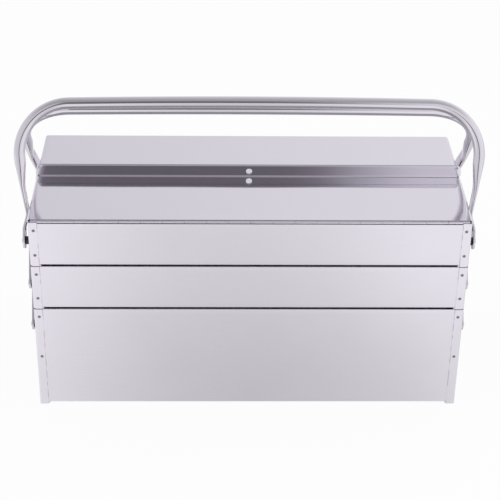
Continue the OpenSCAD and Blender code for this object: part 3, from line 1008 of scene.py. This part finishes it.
@dataclass
class Lid:
    """Mirror-polished lid with rolled ends, rounded corners and an upright lip."""

    side: Side
    sizes: BoxSizes = SIZES
    rise: float = 2.0
    end: float = 266.8
    end_gap: float = 0.4
    front: float = 112.9
    edge_r: float = 4.0
    corner_r: float = 3.0
    skirt: float = 6.0
    lip_h: float = 15.5
    lip_corner: float = 8.0
    hem_h: float = 4.4
    hem_ease: float = 0.3
    fold_r: float = 2.4
    hole_r: float = 4.0
    hole_z: float = 6.9
    hole_span: float = 10.0
    sag: float = 0.16

    @property
    def top(self) -> float:
        """Height of the lid's flat."""
        return self.sizes.rim_z + self.rise

    @property
    def inner(self) -> float:
        """Depth at which the lip's fold begins."""
        return self.sizes.mid_face + self.fold_r

    def pan(self, work: Surface) -> None:
        """Adds the flat with its rolled ends; the outer edge bows in at the corners.

        Args:
            work: surface that it is added to.
        """
        r, corner = self.edge_r, self.corner_r
        half = path_of(arc((self.end - r, self.top - r), r, 90, 0, ROLL_SPANS),
                       [[self.end, self.top - self.skirt]])
        flat = np.linspace(-(self.end - r), self.end - r, 90)
        over = path_of(half[::-1] * [-1, 1], points_of(flat, self.top), half)
        under = over + left_normals(over[::-1])[::-1] * self.sizes.sheet
        out = np.abs(over[:, :1])
        away = np.clip(out - (self.end - corner), 0, corner)
        start = -self.front + corner - np.sqrt(corner ** 2 - away ** 2)
        share = np.r_[0.0, 0.004, np.linspace(0.02, 1, 28)]
        gap = self.end_gap * (out > self.end - r + 0.01)
        y = start + (-self.inner - gap - start) * share
        outer, lower = [points_of(run[:, :1], y, run[:, 1:]) for run in (over, under)]
        wander = self._wander(outer)
        outer[..., 2] += wander
        lower[..., 2] += wander
        work.slab(outer, lower)

    def _wander(self, pts: Array) -> Array:
        """Slow wander of the flat: products of long sines, zero at the edges."""
        x, y = pts[..., 0], pts[..., 1]
        fade = np.clip(1 - (np.abs(x) / (self.end - 6)) ** 6, 0, 1) * smooth_step(
            (y + self.front) / 14) * smooth_step((-self.inner - y) / 12)
        phase = 1.7 if self.side is Side.FRONT else 4.1
        return -self.sag * fade * (0.6 + 0.4 * np.sin(x / 67 + phase) + 0.3 * np.sin(
            x / 29 + y / 21 + phase) + 0.2 * np.cos(y / 17 - x / 90))

    def lip_top(self, x: Array) -> Array:
        """Height of the lip's rounded upper edge at each X."""
        r = self.lip_corner
        away = np.clip(np.abs(x) - (self.end - r), 0, r)
        return self.top + self.lip_h - r + np.sqrt(r ** 2 - away ** 2)

    def lip(self, work: Surface) -> None:
        """Adds the fold, the lip with its padlock hole and the folded upper edge.

        Args:
            work: surface that they are added to.
        """
        t, face, hole = self.sizes.sheet, -self.sizes.mid_face, self.hole_span
        flat_end, foot = self.end - self.edge_r, self.top - t + self.fold_r
        xs = stations(-flat_end, flat_end, STEP)
        inner, outer = [arc((-self.inner, foot), r, 270, 360, ROLL_SPANS)
                        for r in (self.fold_r - t, self.fold_r)]
        work.slab(sweep_x(inner, xs)[::-1], sweep_x(outer, xs)[::-1], walls="cd")
        hem_z = self.top + self.lip_h - self.hem_h
        rows = np.linspace(foot, hem_z, 9)
        share = ((rows - foot) / (hem_z - foot))[:, None]
        right = (self.end - (self.end - hole) * np.linspace(0, 1, 80) ** 1.6)[::-1]
        for cols, walls in ((-right[::-1], "a"), (right, "b")):
            z = foot + share * (np.minimum(self.lip_top(cols), hem_z) - foot)
            work.slab(*[points_of(cols, y, z).swapaxes(0, 1) for y in (face - t, face)],
                      walls=walls)
        self._hole(work, rows, face, t)
        self._hem(work, hem_z, face, t)

    def _hole(self, work: Surface, rows: Array, face: float, t: float) -> None:
        """Adds the sheet round the padlock hole: rings from circle to rectangle.

        Args:
            work: surface that it is added to.
            rows: heights at the rectangle's sides.
            face: lip's face at the middle of the box.
            t: sheet thickness.
        """
        w, zc = self.hole_span, self.top + self.hole_z
        across, right = np.linspace(w, -w, 17), points_of(w, rows)
        box = path_of(right, points_of(across, rows[-1]), right[::-1] * [-1, 1],
                      points_of(across[::-1], rows[0]))[:-1]
        angle = np.arctan2(box[:, 1] - zc, box[:, 0])
        ring = self.hole_r * points_of(np.cos(angle), np.sin(angle)) + [0, zc]
        flat = ring + (box - ring) * np.linspace(0, 1, 5)[:, None, None]
        work.slab(*[points_of(flat[..., 0], y, flat[..., 1]).swapaxes(0, 1)
                    for y in (face - t, face)], close_u=True, walls="c")

    def _hem(self, work: Surface, hem_z: float, face: float, t: float) -> None:
        """Adds the edge folded outward along the lip's top.

        Args:
            work: surface that it is added to.
            hem_z: height of the fold's lower edge.
            face: lip's face at the middle of the box.
            t: sheet thickness.
        """
        corner = self.lip_corner
        reach = self.end - corner + np.sqrt(
            corner ** 2 - (corner - self.hem_h + self.hem_ease) ** 2)
        xs = stations(-reach, reach, 5.0, (-reach + 4, reach - 4), 4.0, 0.5)
        turn = np.radians(np.linspace(180, 0, 9))
        y = np.r_[face - 2 * t, face - t + t * np.cos(turn), face]
        crest = np.maximum(self.lip_top(xs) + (t * np.sin(turn) - t)[:, None], hem_z)
        low = np.full((1, len(xs)), hem_z)
        work.bar(points_of(xs, y[:, None], np.vstack([low, crest, low])))

    def build(self, material: bpy.types.Material) -> bpy.types.Object:
        """Makes the lid.

        Args:
            material: its finish.
        Returns:
            The dressed piece.
        """
        work, word = Surface(), self.side.word
        self.pan(work)
        self.lip(work)
        obj = work.to_object(f"{word}_lid_sheet", y_sign=-self.side.value, sharp=40)
        return dress(obj, f"{word}_lid_panel", material,
                     [f"{word}_lid"])


@dataclass
class PianoHinge:
    """Continuous hinge: knuckles on two leaves, and the pin."""

    side: Side
    length: float = 525.0
    count: int = 20
    radius: float = 1.7
    pin_r: float = 0.9
    pin_ease: float = 0.1
    bore_r: float = 0.95
    gap: float = 0.3
    knuckle_ease: float = 0.2
    leaf_t: float = 0.7
    leaf_w: float = 13.0
    leaf_ease: float = 0.15
    y: float = 114.7
    z: float = 264.5

    def leaf(self, first: int, low: Span, high: Span) -> Surface:
        """One leaf: a strip with eased long edges, and every second knuckle.

        Args:
            first: number of the first knuckle.
            low: lowest Y and Z of the strip.
            high: highest Y and Z of the strip.
        Returns:
            Their surface.
        """
        work, pitch, e = Surface(), self.length / self.count, self.knuckle_ease
        half = (pitch - self.gap) / 2
        ring = np.array([[-half, self.bore_r], [-half, self.radius - e],
                         [-half + e, self.radius], [half - e, self.radius],
                         [half, self.radius - e], [half, self.bore_r]])
        for i in range(first, self.count, 2):
            centre = (-self.length / 2 + (i + 0.5) * pitch, -self.y, self.z)
            work.grid(turned(ring, centre, 24), close_u=True, close_v=True)
        (y0, z0), (y1, z1), e = low, high, self.leaf_ease
        loop = np.array([[y0 + e, z0], [y1 - e, z0], [y1, z0 + e], [y1, z1 - e],
                         [y1 - e, z1], [y0 + e, z1], [y0, z1 - e], [y0, z0 + e]])
        return work.bar(sweep_x(loop, np.linspace(-self.length / 2, self.length / 2, 40)))

    def build(self, leaf: bpy.types.Material, pin: bpy.types.Material
              ) -> list[bpy.types.Object]:
        """Makes both leaves and the pin.

        Args:
            leaf: finish of the leaves.
            pin: finish of the pin.
        Returns:
            The dressed pieces.
        """
        word, r, t = self.side.word, self.radius, self.leaf_t
        clear, end, e = r + self.gap, self.length / 2, self.pin_ease
        tray = self.leaf(0, (-self.y - r, self.z - self.leaf_w),
                         (-self.y - r + t, self.z - clear))
        lid = self.leaf(1, (-self.y + clear, self.z + r - t),
                        (-self.y + self.leaf_w, self.z + r))
        rod = Surface().grid(turned(np.array([
            [-end, 0.0], [-end, self.pin_r - e], [-end + e, self.pin_r],
            [end - e, self.pin_r], [end, self.pin_r - e], [end, 0.0]]),
            (0, -self.y, self.z), 20), close_v=True)
        made = []
        for work, name, body, finish, slot, node in (
                (tray, "tray_leaf_rolled", "top_tray", leaf, "brushed_stainless",
                 "hinge_tray_leaf"),
                (lid, "lid_leaf_rolled", "lid_panel", leaf, "brushed_stainless",
                 "hinge_lid_leaf"),
                (rod, "hinge_rod", "top_tray", pin, "lever_steel", "hinge_pin")):
            obj = work.to_object(f"{word}_{name}", y_sign=-self.side.value)
            made.append(dress(obj, f"{word}_{body}", finish, [f"{word}_{node}"]))
        return made


@dataclass
class TubeHandle:
    """Bent tube handle whose legs are pressed flat towards their pivots."""

    side: Side
    lean: float
    sizes: BoxSizes = SIZES
    radius: float = 6.95
    reach: float = 169.6
    bend_r: float = 62.0
    splay: float = 4.4
    flat_t: float = 3.2
    flat_w: float = 20.0
    flat_top: float = 16.0
    flat_square: float = 5.0
    neck_z: float = 33.0
    neck_in: float = 4.9
    press_mid: float = 68.0
    mid_t: float = 5.4
    mid_w: float = 18.0
    mid_square: float = 3.4
    press_top: float = 96.0
    plate_x: float = 275.5
    leg_in: float = 1.8
    leg_rise: float = 25.0
    route_blur: float = 3.0
    press_blur: float = 4.0
    crown: float = 2.0
    crown_from: float = 70.0
    crown_over: float = 80.0

    def route(self) -> tuple[Array, float]:
        """Centre line of the right-hand half from the leg's foot to the bar's middle.

        Returns:
            Points in X and height above the pivot, and the X where the bend begins.
        """
        splay = np.radians(self.splay)
        bend_z = self.reach - self.bend_r
        top_z = bend_z - self.bend_r * np.sin(splay)
        leg_x, foot = self.plate_x - self.leg_in, self.flat_w / 2
        top_x = leg_x + (top_z - self.leg_rise) * np.tan(splay)
        bend_x = top_x - self.bend_r * np.cos(splay)
        z = np.r_[-foot * np.cos(np.linspace(0, np.pi / 2, 15)),
                  np.linspace(2, self.flat_top, 8),
                  np.linspace(self.flat_top, top_z, 40)[1:]]
        places = [-foot, self.flat_top, self.neck_z, self.press_mid, top_z]
        centres = [self.plate_x, self.plate_x, self.plate_x - self.neck_in,
                   leg_x + (self.press_mid - self.leg_rise) * np.tan(splay), top_x]
        x = eased(z, places, centres, self.route_blur)
        x[-1] = top_x
        bend = arc((bend_x, bend_z), self.bend_r, -self.splay, 90, 44)
        bar = points_of(np.linspace(bend_x, 0, 60), self.reach)
        return path_of(points_of(x, z), bend, bar), bend_x

    def section(self, z: Array) -> tuple[Array, Array, Array]:
        """Half thickness, half width and squareness of the tube at heights.

        Args:
            z: heights above the pivot.
        Returns:
            The three values for each height.
        """
        below, above, foot = -100, 1000, self.flat_w / 2
        places = [below, self.neck_z, self.press_mid, self.press_top, above]
        half_t, half_w, square = [
            eased(z, places, [flat, flat, middle, tube, tube], self.press_blur)
            for flat, middle, tube in (
                (self.flat_t / 2, self.mid_t / 2, self.radius),
                (foot, self.mid_w / 2, self.radius),
                (self.flat_square, self.mid_square, 2.0))]
        half_w = np.where(z < 0, np.sqrt(np.clip(foot ** 2 - z ** 2, 0, None)), half_w)
        return half_t, half_w, square

    def build(self, material: bpy.types.Material) -> bpy.types.Object:
        """Makes the handle and leans it inward about its pivots.

        P = centre line + thickness |cos a|^(2/n) along the line's normal
        + width |sin a|^(2/n) along Y.

        Args:
            material: its finish.
        Returns:
            The dressed piece.
        """
        right, bend_x = self.route()
        path = np.vstack([right, (right * [-1, 1])[::-1][1:]])
        half_t, half_w, square = [part[:, None] for part in self.section(path[:, 1])]
        sag = self.crown * np.clip(np.abs(path[:, :1]) / bend_x, 0, 1) ** 2 * smooth_step(
            (path[:, 1:] - self.crown_from) / self.crown_over)
        normal = left_normals(path)
        normal /= np.linalg.norm(normal, axis=1, keepdims=True)
        a = np.linspace(0, 2 * np.pi, 40, endpoint=False)
        out, wide = [np.sign(wave) * np.abs(wave) ** (2 / square) * half
                     for wave, half in ((np.cos(a), half_t), (np.sin(a), half_w))]
        x = path[:, :1] + normal[:, :1] * out
        up = path[:, 1:] - sag + normal[:, 1:] * out
        cos, sin = np.cos(np.radians(self.lean)), np.sin(np.radians(self.lean))
        y = -self.sizes.rows()[0] + wide * cos + up * sin
        z = self.sizes.pivot_z(2) + up * cos - wide * sin
        word = self.side.word
        obj = Surface().grid(points_of(x, y, z), close_v=True).to_object(
            f"{word}_grip_tube", y_sign=-self.side.value, sharp=60)
        return dress(obj, f"{word}_carry_handle", material,
                     [f"{word}_handle"])


@dataclass
class ToolBox:
    """The whole box, built piece by piece from its sizes."""

    finishes: Finishes
    sizes: BoxSizes = SIZES
    lever_fit: Span = (5.7, 2.5)
    handle_fit: Span = (8.8, 3.2)
    tray_welds: Span = (11.0, 45.0)
    base_welds: Span = (11.0, 70.0)
    leans: tuple[tuple[Side, float], ...] = ((Side.FRONT, 21.37), (Side.REAR, 30.81))
    ends: tuple[tuple[str, int], ...] = (("left", -1), ("right", 1))
    hinge_drop: float = 1.8
    rest_gap: float = 1.0
    foot_lift: float = 1.0
    pieces: list[bpy.types.Object] = field(default_factory=list)

    def base(self) -> None:
        """Builds the base: folded body, end panels, rivets and bushes."""
        s, f = self.sizes, self.finishes
        wall, outer, middle = s.half_dep - s.sheet, s.rows()[0], s.rows()[1]
        self.pieces.append(FoldedBody("base_body", "base", -wall, wall, s.foot_h,
                                      s.base_height, s.base_height).build(1, f.panel))
        for word, x in self.ends:
            self.pieces.append(EndPanel(f"base_end_{word}", "base", -s.half_dep, s.half_dep,
                                        0.0, s.base_height, self.base_welds
                                        ).build(x, 1, f.end))
        spots = [(y, s.pivot_z(0), *self.lever_fit)
                 for y in (-outer, -middle, outer, middle)]
        self.pieces += RivetRow("base_rivets", "base", "base_spacers", spots).build(
            f.lever, f.bush)

    def tray(self, side: Side, level: Level) -> None:
        """Builds one swinging tray.

        Args:
            side: front or rear.
            level: middle or top.
        """
        s, f, sign = self.sizes, self.finishes, -side.value
        word, low = f"{side.word}_{level.word}", s.tray_z(level)
        body, high, is_top = f"{word}_tray", low + s.tray_height, level is Level.TOP
        self.pieces.append(FoldedBody(
            f"{word}_body", body, s.sheet - s.half_dep, -s.mid_face - s.sheet,
            low + s.foot_h, high - self.hinge_drop * is_top, high + self.rest_gap * is_top,
            out_hem=not is_top).build(sign, f.panel))
        for end, x in self.ends:
            self.pieces.append(EndPanel(f"{word}_end_{end}", body, -s.half_dep,
                                        -s.mid_face, low, high, self.tray_welds,
                                        foot_lift=self.foot_lift).build(x, sign, f.end))
        fits = [self.handle_fit if is_top else self.lever_fit] + 2 * [self.lever_fit]
        spots = [(side.value * y, low + s.pivot_rise, *fit)
                 for y, fit in zip(s.rows(), fits)]
        self.pieces += RivetRow(f"{word}_rivets", body, f"{word}_spacers", spots).build(
            f.lever, f.bush)

    def levers(self, side: Side) -> None:
        """Builds the levers of one half, at both ends of the box.

        Args:
            side: front or rear.
        """
        s, rows = self.sizes, self.sizes.rows()
        for kind, y, first, stages in (("long", rows[0], 0, 2), ("lower", rows[1], 0, 1),
                                       ("upper", rows[0], 1, 1)):
            for end, x in self.ends:
                self.pieces.append(Lever(
                    f"{side.word}_{kind}_lever_{end}", f"{side.word}_{kind}_levers", -y,
                    s.pivot_z(first), stages).build(x, -side.value, self.finishes.lever))

    def build(self) -> list[bpy.types.Object]:
        """Builds every sub-assembly in order.

        Returns:
            The pieces made.
        """
        f = self.finishes
        self.base()
        for side, lean in self.leans:
            for level in Level:
                self.tray(side, level)
            self.levers(side)
            self.pieces.append(Lid(side).build(f.mirror))
            self.pieces += PianoHinge(side).build(f.panel, f.lever)
            self.pieces.append(TubeHandle(side, lean).build(f.tube))
        return self.pieces


# The studio

@dataclass(frozen=True)
class Studio:
    """Pale floor, soft lamps, white surround and the photograph's viewpoint."""

    eye: Colour = (-0.0409, -1.632, 1.1215)
    turns: Colour = (1.53, 30.53, 0.91)
    lens: float = 105.35
    sensor: float = 36.0
    clip: Span = (0.05, 60.0)
    floor_half: float = 8.0
    floor_drop: float = 0.02
    floor_colour: Colour = (0.90, 0.90, 0.91)
    floor_white: float = 0.93
    # Painted shade and light on the floor's glow that the metal reflects.
    floor_middle: float = 0.76
    floor_rise: float = 2.7
    floor_slope: float = 0.1
    floor_near: float = 0.81
    floor_left: float = 0.10
    floor_front: Span = (-0.118, -0.55)
    floor_side: Span = (0.0, -0.3)
    room_colour: Colour = (0.94, 0.93, 0.97)
    room_strength: float = 0.87
    room_side: Span = (-0.3, 0.3)
    room_slope: Span = (0.9, 1.1)
    ceiling_front: Colour = (0.46, 0.46, 0.48)
    ceiling_back: Colour = (0.70, 0.70, 0.73)
    ceiling_depth: Span = (-0.7, 0.5)
    ceiling_height: Span = (0.45, 0.95)
    wing_colour: Colour = (1.02, 1.0, 1.04)
    wing_side: Span = (0.45, 0.85)
    wing_height: Span = (0.75, 0.35)
    dim_colour: Colour = (0.20, 0.19, 0.21)
    dim_centre: float = 0.03
    dim_side: Span = (0.18, 0.08)
    dim_depth: Span = (-0.1, -0.4)
    dim_low: Span = (0.02, 0.16)
    dim_high: Span = (0.92, 0.55)
    lamps: tuple[tuple[str, Colour], ...] = (("soft_left", (-1.6, -0.4, 1.9)),
                                             ("soft_right", (1.7, -0.2, 1.8)))
    lamp_aim: float = 0.15
    lamp_size: float = 2.0
    lamp_power: float = 12.0

    @staticmethod
    def place(obj: bpy.types.Object, across: Array, up: Array, back: Array,
              where: Sequence[float]) -> None:
        """Stands a lamp or a camera by its three axes and links it to the scene.

        Args:
            obj: the lamp or the camera.
            across: its own X axis.
            up: its own Y axis.
            back: its own Z axis, away from where it looks.
            where: its place.
        """
        turn = np.eye(4)
        turn[:3, :] = np.stack([across, up, back, where], -1)
        obj.matrix_world = Matrix(turn.tolist())
        bpy.context.scene.collection.objects.link(obj)

    def camera(self) -> None:
        """Makes the camera from the eye point and its turns: yaw, pitch and roll."""
        yaw, pitch, roll = np.radians(self.turns)
        ahead = np.array([np.sin(yaw) * np.cos(pitch), np.cos(yaw) * np.cos(pitch),
                          -np.sin(pitch)])
        level = np.array([np.cos(yaw), -np.sin(yaw), 0.0])
        upright = np.cross(level, ahead)
        data = bpy.data.cameras.new("photo_view")
        data.lens, data.sensor_width = self.lens, self.sensor
        data.clip_start, data.clip_end = self.clip
        cam = bpy.data.objects.new("photo_view", data)
        self.place(cam, np.cos(roll) * level + np.sin(roll) * upright,
                   np.cos(roll) * upright - np.sin(roll) * level, -ahead, self.eye)
        bpy.context.scene.camera = cam

    def floor(self) -> None:
        """Lays a pale floor that keeps the object's shadow and shows white; the glow that
        the metal reflects carries painted shade, darker in the middle and near the box, and
        is painted lighter to the left.
        """
        side = np.linspace(-self.floor_half, self.floor_half, 3) / MM
        obj = Surface().grid(points_of(side[:, None], side, -self.floor_drop)).to_object(
            "studio_floor", closed=False)
        material, g = new_material("floor_pale")
        matt = g.node("ShaderNodeBsdfDiffuse", {}, {"Color": (*self.floor_colour, 1.0)})
        x, y, _ = g.axes(g.node("ShaderNodeTexCoord", {}, {}, "Object"))
        camera, mirror = [g.node("ShaderNodeLightPath", {}, {}, word)
                          for word in ("Is Camera Ray", "Is Glossy Ray")]
        # Painted shade in the glow that the metal reflects: darker towards the middle, and
        # a painted shadow darker near the box's front.
        shade = x * x * self.floor_rise + x * self.floor_slope + self.floor_middle
        shade = shade.at_most(1.0) * g.level(y, *self.floor_front, self.floor_near, 1.0)
        # Painted light: the reflected floor is made lighter to the left, near the box's
        # front.
        left = g.level(x, *self.floor_side, 0.0, self.floor_left)
        shade = shade + left * g.level(y, *self.floor_front[::-1])
        tone = g.blend((shade + camera).at_most(1.0), (0, 0, 0), (1, 1, 1))
        glow = g.node("ShaderNodeEmission", {}, {"Color": tone, "Strength": 1.0})
        shader = g.node("ShaderNodeMixShader", {}, {
            0: (camera + mirror) * self.floor_white, 1: matt, 2: glow})
        g.node("ShaderNodeOutputMaterial", {}, {"Surface": shader})
        obj.data.materials.append(material)

    def surround(self) -> None:
        """Sets the world: white to the camera, a graded room to the metal.

        The room is bright low down and behind the box, grey overhead, and dim where
        the photographer stands.
        """
        world = bpy.data.worlds.new("studio_room")
        bpy.context.scene.world = world
        world.use_nodes = True
        g = Graph(world.node_tree)
        x, y, z = g.axes(g.node("ShaderNodeTexCoord", {}, {}, "Generated"))
        aside = (x + self.dim_centre).at_least(x * -1 - self.dim_centre)
        dim = (g.level(aside, *self.dim_side) * g.level(y, *self.dim_depth)
               * g.level(z, *self.dim_low) * g.level(z, *self.dim_high))
        wings = g.level(aside, *self.wing_side) * g.level(z, *self.wing_height)
        ceiling = g.blend(g.level(y, *self.ceiling_depth), self.ceiling_front,
                          self.ceiling_back)
        room = g.blend(g.level(z, *self.ceiling_height), self.room_colour, ceiling)
        room = g.blend(wings, room, self.wing_colour)
        room = g.blend(dim, room, self.dim_colour)
        strength = g.level(x, *self.room_side, *self.room_slope) * self.room_strength
        shade = g.node("ShaderNodeBackground", {}, {"Color": room, "Strength": strength})
        white = g.node("ShaderNodeBackground", {}, {"Color": (1, 1, 1, 1), "Strength": 1.0})
        camera = g.node("ShaderNodeLightPath", {}, {}, "Is Camera Ray")
        mixed = g.node("ShaderNodeMixShader", {}, {0: camera, 1: shade, 2: white})
        g.node("ShaderNodeOutputWorld", {}, {"Surface": mixed})

    def lamp(self, name: str, where: Sequence[float]) -> None:
        """Hangs a square soft lamp that faces the box and stays out of reflections.

        Args:
            name: name of the lamp.
            where: its place.
        """
        data = bpy.data.lights.new(name, "AREA")
        data.size, data.energy = self.lamp_size, self.lamp_power
        obj = bpy.data.objects.new(name, data)
        back = np.array(where) - [0, 0, self.lamp_aim]
        back /= np.linalg.norm(back)
        across = np.cross([0, 1, 0], back)
        across /= np.linalg.norm(across)
        obj.visible_glossy = False
        self.place(obj, across, np.cross(back, across), back, where)

    def build(self) -> None:
        """Sets up the whole studio."""
        self.camera()
        self.floor()
        self.surround()
        for name, where in self.lamps:
            self.lamp(name, where)
        bpy.context.scene.view_settings.view_transform = "Standard"


def main() -> None:
    """Builds the studio and the box, and logs how many pieces it made."""
    logging.basicConfig(level=logging.INFO, format="%(name)s %(message)s")
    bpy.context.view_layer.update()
    Studio().build()
    pieces = ToolBox(make_finishes()).build()
    LOG.info("%d pieces", len(pieces))


if __name__ == "__main__":
    main()
